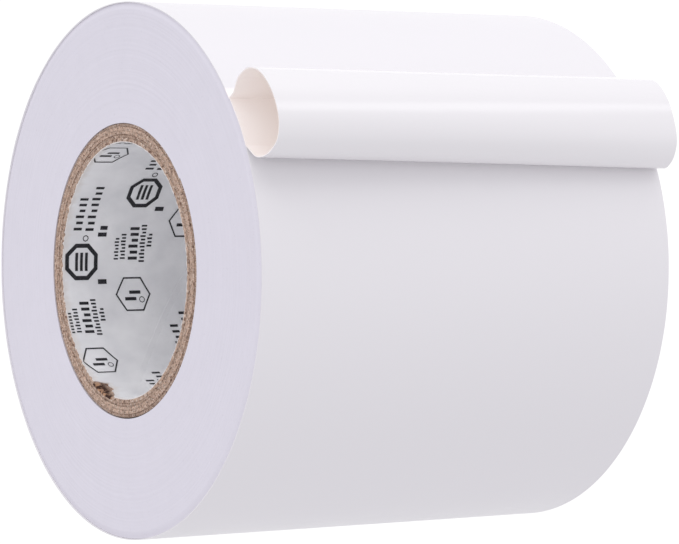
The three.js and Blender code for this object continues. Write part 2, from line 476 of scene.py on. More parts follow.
def silvered_paper(colour):
    """Thin paper with a silver-grey coating: satin on its face, bare white fibres at its cut edge."""
    name = "Silvered liner paper"
    if name in bpy.data.materials:
        return bpy.data.materials[name]
    shader_inputs = {"Base Color": opaque(colour), "Roughness": 0.45}
    material, tree, shader = new_material(name, **shader_inputs)
    place = add(tree, "ShaderNodeTexCoord").outputs["Object"]
    cloud_inputs = {"Vector": place, "Scale": 1 / (6 * MM), "Detail": 3.0}
    cloud = add(tree, "ShaderNodeTexNoise", cloud_inputs)
    tone = add(tree, "ShaderNodeValToRGB", {"Fac": cloud.outputs["Fac"]})
    tone.color_ramp.elements[0].position = 0.3
    tone.color_ramp.elements[0].color = opaque([c * 0.9 for c in colour])
    tone.color_ramp.elements[1].position = 0.7
    tone.color_ramp.elements[1].color = opaque([min(1.0, c * 1.06) for c in colour])
    frayed = add(tree, "ShaderNodeAttribute", attribute_name="frayed")
    surface_inputs = {0: frayed.outputs["Fac"], 6: tone.outputs["Color"], 7: opaque(linear("#EDE9E6"))}
    surface = add(tree, "ShaderNodeMix", surface_inputs, data_type="RGBA")
    tree.links.new(surface.outputs[2], shader.inputs["Base Color"])
    tooth_inputs = {"Vector": place, "Scale": 1 / (0.3 * MM), "Detail": 2.0}
    tooth = add(tree, "ShaderNodeTexNoise", tooth_inputs)
    bump_inputs = {"Strength": 0.15, "Distance": 0.03 * MM, "Height": tooth.outputs["Fac"]}
    bump = add(tree, "ShaderNodeBump", bump_inputs)
    tree.links.new(bump.outputs["Normal"], shader.inputs["Normal"])
    return material


def printing_ink(colour):
    """Black rotary-printed ink, thin and satin, a little starved where the paper is rough."""
    shader_inputs = {"Base Color": opaque(colour), "Roughness": 0.5}
    material, tree, shader = new_material("Black printing ink", **shader_inputs)
    place = add(tree, "ShaderNodeTexCoord").outputs["Object"]
    tooth_inputs = {"Vector": place, "Scale": 1 / (0.25 * MM), "Detail": 2.0}
    tooth = add(tree, "ShaderNodeTexNoise", tooth_inputs)
    ramp = add(tree, "ShaderNodeValToRGB", {"Fac": tooth.outputs["Fac"]})
    ramp.color_ramp.elements[0].position = 0.55
    ramp.color_ramp.elements[0].color = opaque(colour)
    ramp.color_ramp.elements[1].position = 0.8
    ramp.color_ramp.elements[1].color = opaque(linear("#4A4A50"))
    tree.links.new(ramp.outputs["Color"], shader.inputs["Base Color"])
    return material


# ---- Mesh helpers ----


def place(angle, radius, x):
    return (x, -radius * math.cos(angle), radius * math.sin(angle))


def grid_faces(rows, columns, first, wrap):
    """Faces between the points of a grid, numbered row by row from `first`."""
    faces = []
    for i in range(rows if wrap else rows - 1):
        here = first + i * columns
        after = first + ((i + 1) % rows) * columns
        for j in range(columns - 1):
            faces.append((here + j, here + j + 1, after + j + 1, after + j))
    return faces


def solid_sheet(name, top, bottom, material, wrap=False, smooth_angle=40):
    """A closed thin solid between two grids of points of the same size. A wrapped one is a tube."""
    rows, columns = len(top), len(top[0])
    points = np.array([p for grid in (top, bottom) for row in grid for p in row], float)
    below = rows * columns
    faces = grid_faces(rows, columns, 0, wrap)
    faces += [f[::-1] for f in grid_faces(rows, columns, below, wrap)]
    for i in range(rows if wrap else rows - 1):
        here, after = i * columns, ((i + 1) % rows) * columns
        faces.append((here, after, below + after, below + here))
        last = columns - 1
        faces.append((after + last, here + last, below + here + last, below + after + last))
    if not wrap:
        for j in range(columns - 1):
            faces.append((j + 1, j, below + j, below + j + 1))
            end = (rows - 1) * columns
            faces.append((end + j, end + j + 1, below + end + j + 1, below + end + j))
    return closed_object(name, points, faces, material, smooth_angle)


def volume(points, faces):
    """The volume inside closed quads: negative where they face inwards."""
    corners = points[np.array(faces)]
    total = 0.0
    for a, b, c in ((0, 1, 2), (0, 2, 3)):
        across = np.cross(corners[:, b], corners[:, c])
        total += np.einsum("ij,ij->", corners[:, a], across)
    return total / 6


def closed_object(name, points, faces, material, smooth_angle):
    if volume(points, faces) < 0:
        faces = [f[::-1] for f in faces]
    mesh = bpy.data.meshes.new(name)
    mesh.from_pydata([tuple(p) for p in points], [], faces)
    return linked(name, mesh, material, smooth_angle)


def linked(name, mesh, material, smooth_angle=40):
    """An object of this mesh at the origin, smooth except at edges sharper than the angle."""
    mesh.name = name
    mesh.polygons.foreach_set("use_smooth", [True] * len(mesh.polygons))
    mesh.set_sharp_from_angle(angle=math.radians(smooth_angle))
    if material is not None:
        mesh.materials.clear()
        mesh.materials.append(material)
    made = bpy.data.objects.new(name, mesh)
    bpy.context.scene.collection.objects.link(made)
    return made


def finished(piece, body, slot, *nodes):
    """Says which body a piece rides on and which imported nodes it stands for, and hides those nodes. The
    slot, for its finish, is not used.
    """
    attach(piece, body)
    if nodes:
        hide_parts(*nodes)
    return piece


def across_width(at_ends, x):
    """A value at x, from its values at the near and the far face."""
    share = (x - NEAR_X) / WIDTH
    return at_ends[NEAR_X] * (1 - share) + at_ends[FAR_X] * share


def ripple(size, *where):
    """Smooth noise from -1 to 1 that changes over about `size`, in metres or radians."""
    return noise.noise(Vector([w / size for w in where] + [0.0] * (3 - len(where))))


def spread(low, high, count, crowd=1.0):
    """Values from low to high, crowded towards both ends where crowd is more than 1."""
    values = []
    for i in range(count):
        t = 2 * i / (count - 1) - 1
        t = math.copysign(1 - (1 - abs(t)) ** crowd, t)
        values.append(low + (high - low) * (t + 1) / 2)
    return values


# ---- Stage ----

# The view, as measured from the roll's middle: bearing and height in degrees, distance in roll radii.
VIEW_AZIMUTH = -32.43
VIEW_ELEVATION = 0.353
VIEW_DISTANCE = 12.245
VIEW_HEADING = -32.69
VIEW_PITCH = 89.56
VIEW_ROLL = -0.68
LENS_MM = 168.07
BACKDROP_SIZE = 2.4  # metres each way
BACKDROP_DISTANCE = 2.0  # metres behind the roll
STUDIO_COLOUR = "#FBFAFF"
STUDIO_STRENGTH = 0.82  # of the even light from all around
CEILING_STRENGTH = 0.95
CEILING_SPREAD = 80.0  # degrees over which the ceiling's light comes down
CEILING_TILT = (8.0, -6.0, 0.0)  # degrees, so that it comes a little from the front and the left
# Each soft box: its name, its place, width and height in metres, and its power in watts
SOFT_BOXES = (
    ("Left soft box", (-1.1, -0.86, 0.1), 0.8, 0.8, 0.8),
    ("Upper right strip box", (0.86, -0.90, 1.0), 0.8, 0.22, 1.15),
)


def make_camera():
    camera = bpy.data.objects.new("Camera", bpy.data.cameras.new("Camera"))
    bpy.context.scene.collection.objects.link(camera)
    camera.data.lens = LENS_MM
    camera.data.sensor_width = 36.0
    camera.data.clip_start = 0.01
    camera.data.clip_end = 50.0
    azimuth, elevation = math.radians(VIEW_AZIMUTH), math.radians(VIEW_ELEVATION)
    level = math.cos(elevation)
    back = Vector((math.sin(azimuth) * level, -math.cos(azimuth) * level, math.sin(elevation)))
    aim = Euler((math.radians(VIEW_PITCH), 0, math.radians(VIEW_HEADING))).to_matrix()
    aim = aim @ Matrix.Rotation(math.radians(VIEW_ROLL), 3, "Z")
    camera.matrix_world = Matrix.Translation(back * VIEW_DISTANCE * ROLL_RADIUS) @ aim.to_4x4()
    bpy.context.scene.camera = camera


def make_light(name, place_m, width, height, power):
    """A soft box of this width and height at a place, aimed at the middle of the roll."""
    data = bpy.data.lights.new(name, "AREA")
    data.shape = "RECTANGLE"
    data.size = width
    data.size_y = height
    data.energy = power
    light = bpy.data.objects.new(name, data)
    bpy.context.scene.collection.objects.link(light)
    turn = (-Vector(place_m)).to_track_quat("-Z", "Y")
    light.matrix_world = Matrix.Translation(place_m) @ turn.to_matrix().to_4x4()


def make_ceiling_light():
    """Soft light from the whole ceiling, like daylight through a diffuser."""
    data = bpy.data.lights.new("Ceiling light", "SUN")
    data.energy = CEILING_STRENGTH
    data.angle = math.radians(CEILING_SPREAD)
    light = bpy.data.objects.new("Ceiling light", data)
    bpy.context.scene.collection.objects.link(light)
    tilt = Euler([math.radians(turn) for turn in CEILING_TILT])
    light.matrix_world = tilt.to_matrix().to_4x4()


def make_backdrop():
    """A glowing white panel behind the roll, so that the roll stands on nothing but white."""
    name = "Backdrop"
    shader_inputs = {"Base Color": opaque((0.05, 0.05, 0.05)), "Roughness": 0.9}
    shader_inputs |= {"Emission Color": (1, 1, 1, 1), "Emission Strength": 1.0}
    heading = Matrix.Rotation(math.radians(VIEW_HEADING), 3, "Z")
    half = BACKDROP_SIZE / 2
    corners = ((-half, -half), (half, -half), (half, half), (-half, half))
    points = [heading @ Vector((x, BACKDROP_DISTANCE, z)) for x, z in corners]
    mesh = bpy.data.meshes.new(name)
    mesh.from_pydata([tuple(p) for p in points], [], [(0, 1, 2, 3)])
    linked(name, mesh, new_material(name, **shader_inputs)[0])


class TAPE_ROLL_OT_stage(bpy.types.Operator):
    """Makes the white backdrop, the soft studio light and the camera"""

    bl_idname = "tape_roll.stage"
    bl_label = "Stage"

    def execute(self, context):
        scene = context.scene
        scene.view_settings.view_transform = "Standard"
        scene.view_settings.look = "None"
        world = bpy.data.worlds.new("Studio")
        scene.world = world
        world.use_nodes = True
        background = world.node_tree.nodes["Background"]
        background.inputs["Color"].default_value = opaque(linear(STUDIO_COLOUR))
        background.inputs["Strength"].default_value = STUDIO_STRENGTH
        make_backdrop()
        make_ceiling_light()
        for soft_box in SOFT_BOXES:
            make_light(*soft_box)
        make_camera()
        return {"FINISHED"}


# ---- Core ----

SEAM_LAP = 0.07 * MM  # how far the lapped edge of the liner's strip stands off
SEAM_WIDTH = 1.6 * MM  # how wide the strip laps over its other edge
EDGE_RAGS = 0.2 * MM  # how far the liner's cut edge stands back from the core's, more or less
FRAY_DEPTH = 0.7 * MM  # of bare white fibres at the liner's cut ends


def tear_depth(angle):
    """How far the liner is torn back from the near face at this angle, in metres."""
    degrees, depths = zip(*TEAR)
    at = math.degrees(angle) % 360
    depth = np.interp(at, degrees, depths) * MM
    if depth > 0:
        depth = max(0.0, depth * (1 + 0.25 * ripple(0.02, angle)))
    return depth


def seam_angle(x):
    return SEAM_ANGLE + SEAM_TURN * (x - NEAR_X)


def silvered_strip(name, faces, frayed, wrap):
    """A piece of the liner, with how bare its fibres are at each point of its two faces."""
    piece = solid_sheet(name, *faces, silvered_paper(colours().liner), wrap=wrap)
    mask = piece.data.attributes.new("frayed", "FLOAT", "POINT")
    mask.data.foreach_set("value", np.array(frayed, np.float32))
    return piece


class TAPE_ROLL_OT_liner(bpy.types.Operator):
    """Makes the silvered paper that lines the bore, with its torn edge and its helical seam"""

    bl_idname = "tape_roll.liner"
    bl_label = "Core Liner"

    def execute(self, context):
        finished(self.tube(), "roll", "liner_paper", "core_liner")
        finished(self.seam(), "roll", "liner_paper")
        return {"FINISHED"}

    def tube(self):
        steps, rows = 600, 26
        inner, outer, frayed = [], [], []
        for i in range(steps):
            angle = 2 * math.pi * i / steps
            rags = 1 + ripple(0.035, angle) + 0.6 * ripple(0.011, angle, 2.0)
            start = tear_depth(angle) + EDGE_RAGS * rags
            wool = FRAY_DEPTH * (1 + 0.8 * ripple(0.03, angle, 4.0))
            inner_row, outer_row = [], []
            for x_even in spread(NEAR_X, FAR_X, rows, 2.4):
                x = x_even + start * (1 - (x_even - NEAR_X) / WIDTH) ** 6
                from_end = min(x - NEAR_X - start, FAR_X - x)
                dent = 0.02 * MM * ripple(0.4, angle, x / 0.02)
                inner_row.append(place(angle, BORE_RADIUS + dent, x))
                outer_row.append(place(angle, LINER_OUTER_RADIUS, x))
                frayed.append(max(0.0, min(1.0, 1.4 - from_end / wool)))
            inner.append(inner_row)
            outer.append(outer_row)
        return silvered_strip("core_liner_paper", (inner, outer), frayed * 2, wrap=True)

    def seam(self):
        """The lapped edge, as a thin wedge that runs round the bore from the near end to the far."""
        top, bottom = [], []
        for x in np.linspace(NEAR_X + 1.2 * MM, FAR_X - 1.2 * MM, 320):
            angle = seam_angle(x)
            edge = SEAM_WIDTH / BORE_RADIUS
            heights = (SEAM_LAP, 0.8 * SEAM_LAP, 0.02 * SEAM_LAP)
            angles = (angle, angle + 0.3 * edge, angle + edge)
            top.append([place(a, BORE_RADIUS - h, x) for a, h in zip(angles, heights)])
            bottom.append([place(a, BORE_RADIUS + 0.04 * MM, x) for a in angles])
        return silvered_strip("core_liner_seam", (top, bottom), [0.0] * (320 * 6), wrap=False)


# ---- Marks on the liner ----

INK_LIFT = 0.04 * MM  # of the ink above the paper
STRIDE = 0.7 * MM  # the longest flat stretch in a mark, short enough to wrap round the bore


class Artwork:
    """Flat marks, drawn in mm: x along the axis, and y round the bore against the reading direction."""

    def __init__(self):
        self.points = []
        self.faces = []

    def quad(self, corners):
        first = len(self.points)
        self.points += [(x * MM, y * MM, 0.0) for x, y in reversed(corners)]
        self.faces.append(tuple(range(first, first + 4)))

    def bar(self, x, y, high, long):
        """A bar centred on a point, cut into stretches that follow the bore."""
        pieces = max(1, math.ceil(long * MM / STRIDE))
        for i in range(pieces):
            low = y - long / 2 + long * i / pieces
            up = y - long / 2 + long * (i + 1) / pieces
            self.quad([(x - high / 2, low), (x + high / 2, low), (x + high / 2, up), (x - high / 2, up)])

    def frame(self, x, y, radius, stroke, sides, turn=0.0):
        """The outline of a regular shape with this many sides, as wide over its corners as a ring."""
        cuts = max(1, 24 // sides)
        inner = radius - stroke
        for i in range(sides):
            a, b = (turn + math.radians(360 * (i + k) / sides) for k in (0, 1))
            for j in range(cuts):
                corners = []
                for step, r in ((j, radius), (j + 1, radius), (j + 1, inner), (j, inner)):
                    t = step / cuts
                    across = math.cos(a) * (1 - t) + math.cos(b) * t
                    along = math.sin(a) * (1 - t) + math.sin(b) * t
                    corners.append((x + r * across, y + r * along))
                self.quad(corners)

    def row(self, x, y, high, long, count, weight):
        """A row of upright dashes in place of a line of small print."""
        pitch = long / count
        for i in range(count):
            tall = high * (1.0, 0.82, 1.0, 0.7, 0.9)[i % 5]
            at = y + long / 2 - pitch * (i + 0.5)
            self.bar(x + (high - tall) / 2, at, tall, pitch * weight)

    def mesh(self, name):
        mesh = bpy.data.meshes.new(name)
        mesh.from_pydata(self.points, [], self.faces)
        return mesh


def print_artwork():
    """One repeat of the liner's print: two plain marks and the rows of dashes between them."""
    art = Artwork()
    # A six-sided outline with two bars and a small ring
    art.frame(0.0, 0.0, 3.3, 0.30, 6)
    art.bar(-0.55, 0.75, 2.1, 0.55)
    art.bar(0.35, -0.35, 2.1, 0.55)
    art.frame(1.55, 0.9, 0.55, 0.14, 8)
    # A bold eight-sided frame with three bars
    art.frame(-9.4, -5.5, 3.25, 0.75, 8, math.radians(22.5))
    art.bar(-10.3, -5.5, 0.5, 3.0)
    art.bar(-9.4, -5.5, 0.5, 3.0)
    art.bar(-8.5, -5.5, 0.5, 3.0)
    art.frame(-8.9, -9.4, 0.55, 0.16, 8)
    # The short items beside the bold frame
    art.row(-5.6, -2.2, 1.6, 1.3, 1, 0.6)
    art.row(-5.9, -10.6, 1.6, 2.3, 2, 0.6)
    # Two long rows
    art.row(-10.6, -13.7, 1.5, 6.5, 6, 0.42)
    art.row(-8.4, -14.8, 1.5, 8.9, 8, 0.42)
    # A block of five rows, the third of them bold
    art.row(-3.0, -7.6, 0.8, 3.9, 7, 0.5)
    art.row(-1.8, -8.0, 0.9, 4.5, 8, 0.5)
    art.row(0.1, -8.5, 1.7, 6.0, 6, 0.5)
    art.row(1.8, -8.5, 1.0, 6.6, 11, 0.5)
    art.row(3.1, -9.0, 0.9, 2.5, 4, 0.5)
    return art.mesh("print_artwork")


def liner_print_tree():
    """Repeats the flat artwork along the strip, keeps what is on the paper and wraps it on the bore."""
    tree = bpy.data.node_groups.new("Liner Print", "GeometryNodeTree")
    tree.interface.new_socket(name="Geometry", in_out="INPUT", socket_type="NodeSocketGeometry")
    for label, kind in (
        ("Artwork", "NodeSocketObject"),
        ("Repeats", "NodeSocketInt"),
        ("Columns", "NodeSocketInt"),
        ("Start", "NodeSocketVector"),
        ("Repeat", "NodeSocketVector"),
        ("Column", "NodeSocketVector"),
        ("Near", "NodeSocketFloat"),
        ("Far", "NodeSocketFloat"),
        ("Bore Radius", "NodeSocketFloat"),
        ("Material", "NodeSocketMaterial"),
    ):
        tree.interface.new_socket(name=label, in_out="INPUT", socket_type=kind)
    tree.interface.new_socket(name="Geometry", in_out="OUTPUT", socket_type="NodeSocketGeometry")
    given = add(tree, "NodeGroupInput").outputs
    row_inputs = {"Count": given["Repeats"], "Start Location": given["Start"], "Offset": given["Repeat"]}
    row = add(tree, "GeometryNodeMeshLine", row_inputs).outputs[0]
    stack_inputs = {"Count": given["Columns"], "Start Location": (0, 0, 0), "Offset": given["Column"]}
    stack = add(tree, "GeometryNodeMeshLine", stack_inputs).outputs[0]
    rows_inputs = {"Points": stack, "Instance": row}
    rows = add(tree, "GeometryNodeInstanceOnPoints", rows_inputs).outputs[0]
    lattice = add(tree, "GeometryNodeRealizeInstances", {0: rows}).outputs[0]
    art = add(tree, "GeometryNodeObjectInfo", {"Object": given["Artwork"]}).outputs["Geometry"]
    marks_inputs = {"Points": lattice, "Instance": art}
    marks = add(tree, "GeometryNodeInstanceOnPoints", marks_inputs).outputs[0]
    flat = add(tree, "GeometryNodeRealizeInstances", {0: marks}).outputs[0]
    spot = add(tree, "GeometryNodeInputPosition").outputs[0]
    apart = add(tree, "ShaderNodeSeparateXYZ", {0: spot}).outputs
    before_inputs = {0: apart["X"], 1: given["Near"]}
    before = add(tree, "FunctionNodeCompare", before_inputs, operation="LESS_THAN").outputs[0]
    beyond_inputs = {0: apart["X"], 1: given["Far"]}
    beyond = add(tree, "FunctionNodeCompare", beyond_inputs, operation="GREATER_THAN").outputs[0]
    off = add(tree, "FunctionNodeBooleanMath", {0: before, 1: beyond}, operation="OR").outputs[0]
    kept_inputs = {"Geometry": flat, "Selection": off}
    kept = add(tree, "GeometryNodeDeleteGeometry", kept_inputs, domain="FACE").outputs[0]
    held_inputs = {0: apart["X"], 1: given["Near"], 2: given["Far"]}
    held = add(tree, "ShaderNodeClamp", held_inputs).outputs[0]
    angle_inputs = {0: apart["Y"], 1: given["Bore Radius"]}
    angle = add(tree, "ShaderNodeMath", angle_inputs, operation="DIVIDE").outputs[0]
    back = add(tree, "ShaderNodeMath", {0: angle, 1: -1.0}, operation="MULTIPLY").outputs[0]
    down_inputs = {0: given["Bore Radius"], 1: -1.0}
    down = add(tree, "ShaderNodeMath", down_inputs, operation="MULTIPLY").outputs[0]
    arm = add(tree, "ShaderNodeCombineXYZ", {0: held, 1: down}).outputs[0]
    wrap_inputs = {"Vector": arm, "Angle": back}
    wrapped = add(tree, "ShaderNodeVectorRotate", wrap_inputs, rotation_type="X_AXIS").outputs[0]
    on_bore = add(tree, "GeometryNodeSetPosition", {"Geometry": kept, "Position": wrapped}).outputs[0]
    real = add(tree, "GeometryNodeRealizeInstances", {0: on_bore}).outputs[0]
    inked_inputs = {"Geometry": real, "Material": given["Material"]}
    inked = add(tree, "GeometryNodeSetMaterial", inked_inputs).outputs[0]
    add(tree, "NodeGroupOutput", {0: inked})
    return tree


class TAPE_ROLL_OT_liner_print(bpy.types.Operator):
    """Makes the plain black marks printed on the liner, repeated along its strip"""

    bl_idname = "tape_roll.liner_print"
    bl_label = "Liner Print"

    def execute(self, context):
        flat_marks = print_artwork()
        artwork = bpy.data.objects.new("print_artwork", flat_marks)
        context.scene.collection.objects.link(artwork)
        start = [PRINT_START[k] - PRINT_LEAD * PRINT_REPEAT[k] for k in (0, 1)]
        inputs = {
            "Artwork": artwork,
            "Repeats": sizes().print_repeats,
            "Columns": PRINT_COLUMNS,
            "Start": (NEAR_X + start[0] * MM, start[1] * MM, 0.0),
            "Repeat": (PRINT_REPEAT[0] * MM, PRINT_REPEAT[1] * MM, 0.0),
            "Column": (PRINT_COLUMN[0] * MM, PRINT_COLUMN[1] * MM, 0.0),
            "Near": NEAR_X + 0.35 * MM,
            "Far": FAR_X - 0.35 * MM,
            "Bore Radius": BORE_RADIUS - INK_LIFT,
            "Material": printing_ink(colours().ink),
        }
        piece = grown("liner_print", liner_print_tree(), inputs)
        bpy.data.objects.remove(artwork)
        bpy.data.meshes.remove(flat_marks)
        finished(piece, "roll", "liner_paper")
        return {"FINISHED"}


class TAPE_ROLL_OT_core_plies(bpy.types.Operator):
    """Makes the kraft plies of the core, each with a fibrous cut end"""

    bl_idname = "tape_roll.core_plies"
    bl_label = "Core Plies"

    def execute(self, context):
        steps = 540
        # Each ply's tone. The plies differ a little, and the outermost is darker as painted shade in the
        # gap between the core and the tape
        shades = (1.0, 0.9, 1.04, 1.06, 0.84)
        cut_back = (0.12, 0.18, 0.05, 0.0, 0.16)
        fleck_sizes = (0.62, 0.5, 0.36, 0.36, 0.36)
        for number, node in enumerate(KRAFT_NODES):
            inner_radius, outer_radius = radii(node)
            name = f"Kraft board, ply {number + 1}"
            finish = (colours().kraft, shades[number], fleck_sizes[number] * MM)
            material = cut_kraft_board(name, *finish, torn=number == 0)
            profile = self.profile(inner_radius, outer_radius, cut_back[number] * MM)
            inner, outer, torn = [], [], []
            for i in range(steps):
                angle = 2 * math.pi * i / steps
                rows = [self.frayed_point(angle, radius, x, number) for radius, x in profile]
                half = len(rows) // 2
                inner.append(rows[:half])
                outer.append(rows[half:][::-1])
                torn += [self.torn(angle, p[0]) if number == 0 else 0.0 for p in rows[:half]]
            name = f"kraft_ply_{number + 1}"
            ply = solid_sheet(name, inner, outer, material, wrap=True, smooth_angle=60)
            mask = ply.data.attributes.new("torn", "FLOAT", "POINT")
            mask.data.foreach_set("value", np.array(torn + [0.0] * len(torn), np.float32))
            finished(ply, "roll", "kraft_board", node)
        return {"FINISHED"}

    def profile(self, inner_radius, outer_radius, cut_back):
        """Half of the section's points face the bore, and the other half the tape."""
        middle = (inner_radius + outer_radius) / 2
        quarter = (outer_radius - inner_radius) / 4
        near_cut, far_cut = NEAR_X + cut_back, FAR_X - cut_back
        near_crown, far_crown = NEAR_X + cut_back * 0.6, FAR_X - cut_back * 0.6
        bore_side = [(middle, near_crown), (middle - quarter, near_cut)]
        for depth in (0.05, 0.5, 1.2, 2.0, 3.0):
            bore_side.append((inner_radius, near_cut + depth * MM))
        bore_side += [(inner_radius, far_cut - 0.05 * MM), (middle - quarter, far_cut)]
        bore_side.append((middle, far_crown))
        tape_side = [(middle + 0.2 * quarter, far_crown), (middle + quarter, far_cut)]
        for depth in (0.05, 0.5, 1.2, 2.0, 3.0):
            tape_side.append((outer_radius, far_cut - depth * MM))
        tape_side += [(outer_radius, near_cut + 0.05 * MM), (middle + quarter, near_cut)]
        tape_side.append((middle + 0.2 * quarter, near_crown))
        return bore_side + tape_side

    def frayed_point(self, angle, radius, x, number):
        """A point of a ply, pushed in and out where it lies near a cut end."""
        near_end = min(x - NEAR_X, FAR_X - x) < 0.3 * MM
        if near_end:
            arc = radius * angle
            rough = 0.07 * MM * ripple(0.35 * MM, arc, radius * 3, number + 0.5)
            rough += 0.04 * MM * ripple(1.4 * MM, arc, radius, number + 7.5)
            x += rough if x < 0 else -rough
        if number == 0:
            radius += 0.28 * MM * self.torn(angle, x)
        return place(angle, radius, x)

    def torn(self, angle, x):
        """1 where the ply lies bare behind the liner's tear, and 0 elsewhere."""
        depth = tear_depth(angle)
        if depth <= 0:
            return 0.0
        return max(0.0, min(1.0, (NEAR_X + depth - x) / (0.3 * MM)))


# ---- Tape ----


def winding_place_group():
    """A group that places a point of the winding from its share of a turn, its turn and its side.

    The winding is a spiral: one step round goes one pitch out. Its edges wander a little from
    turn to turn, the film stands proud of the adhesive, and the last turns are drawn in at the rim.
    """
    tree = bpy.data.node_groups.new("Winding Place", "GeometryNodeTree")
    for label, kind in (
        ("Spot", "NodeSocketVector"),
        ("Inner Radius", "NodeSocketFloat"),
        ("Turn Pitch", "NodeSocketFloat"),
        ("Outer Radius", "NodeSocketFloat"),
        ("Width", "NodeSocketFloat"),
        ("Near Start", "NodeSocketFloat"),
        ("Far Start", "NodeSocketFloat"),
        ("Edge Relief", "NodeSocketFloat"),
        ("Wander", "NodeSocketFloat"),
        ("Rim Recess", "NodeSocketFloat"),
        ("Rim Width", "NodeSocketFloat"),
    ):
        tree.interface.new_socket(name=label, in_out="INPUT", socket_type=kind)
    tree.interface.new_socket(name="Place", in_out="OUTPUT", socket_type="NodeSocketVector")
    given = add(tree, "NodeGroupInput").outputs
    spot = add(tree, "ShaderNodeSeparateXYZ", {0: given["Spot"]}).outputs
    wound = add(tree, "ShaderNodeMath", {0: spot["X"], 1: spot["Y"]}, operation="ADD").outputs[0]
    radius_inputs = {0: wound, 1: given["Turn Pitch"], 2: given["Inner Radius"]}
    radius = add(tree, "ShaderNodeMath", radius_inputs, operation="MULTIPLY_ADD").outputs[0]
    start_inputs = {0: spot["Z"], 3: given["Near Start"], 4: given["Far Start"]}
    start = add(tree, "ShaderNodeMapRange", start_inputs).outputs[0]
    angle_inputs = {0: spot["X"], 1: 2 * math.pi, 2: start}
    angle = add(tree, "ShaderNodeMath", angle_inputs, operation="MULTIPLY_ADD").outputs[0]
    back = add(tree, "ShaderNodeMath", {0: angle, 1: -1.0}, operation="MULTIPLY").outputs[0]
    down = add(tree, "ShaderNodeMath", {0: radius, 1: -1.0}, operation="MULTIPLY").outputs[0]
    arm = add(tree, "ShaderNodeCombineXYZ", {1: down}).outputs[0]
    round_inputs = {"Vector": arm, "Angle": back}
    ring = add(tree, "ShaderNodeVectorRotate", round_inputs, rotation_type="X_AXIS").outputs[0]
    valley = add(tree, "ShaderNodeMath", {0: spot["Y"], 1: 0.5}, operation="PINGPONG").outputs[0]
    relief_inputs = {0: valley, 1: given["Edge Relief"], 2: 0.0}
    relief = add(tree, "ShaderNodeMath", relief_inputs, operation="MULTIPLY_ADD").outputs[0]
    tension_inputs = {"W": wound, "Scale": 0.45, "Detail": 3.0}
    tension = add(tree, "ShaderNodeTexNoise", tension_inputs, noise_dimensions="1D")
    drift_inputs = {"Vector": ring, "Scale": 1 / (14 * MM), "Detail": 1.0}
    drift = add(tree, "ShaderNodeTexNoise", drift_inputs)
    both = {0: tension.outputs[0], 1: drift.outputs[0]}
    uneven = add(tree, "ShaderNodeMath", both, operation="ADD").outputs[0]
    wander_inputs = {0: uneven, 1: given["Wander"], 2: relief}
    wander = add(tree, "ShaderNodeMath", wander_inputs, operation="MULTIPLY_ADD").outputs[0]
    rim_start_inputs = {0: given["Outer Radius"], 1: given["Rim Width"]}
    rim_start = add(tree, "ShaderNodeMath", rim_start_inputs, operation="SUBTRACT").outputs[0]
    rim_inputs = {0: radius, 1: rim_start, 2: given["Outer Radius"], 3: 0.0, 4: given["Rim Recess"]}
    rim = add(tree, "ShaderNodeMapRange", rim_inputs, interpolation_type="SMOOTHSTEP").outputs[0]
    recess = add(tree, "ShaderNodeMath", {0: wander, 1: rim}, operation="ADD").outputs[0]
    shrunk_inputs = {0: recess, 1: -2.0, 2: given["Width"]}
    shrunk = add(tree, "ShaderNodeMath", shrunk_inputs, operation="MULTIPLY_ADD").outputs[0]
    side = add(tree, "ShaderNodeMath", {0: spot["Z"], 1: 0.5}, operation="SUBTRACT").outputs[0]
    across = add(tree, "ShaderNodeMath", {0: side, 1: shrunk}, operation="MULTIPLY").outputs[0]
    shift = add(tree, "ShaderNodeCombineXYZ", {0: across}).outputs[0]
    total = add(tree, "ShaderNodeVectorMath", {0: ring, 1: shift}, operation="ADD").outputs[0]
    add(tree, "NodeGroupOutput", {"Place": total})
    return tree


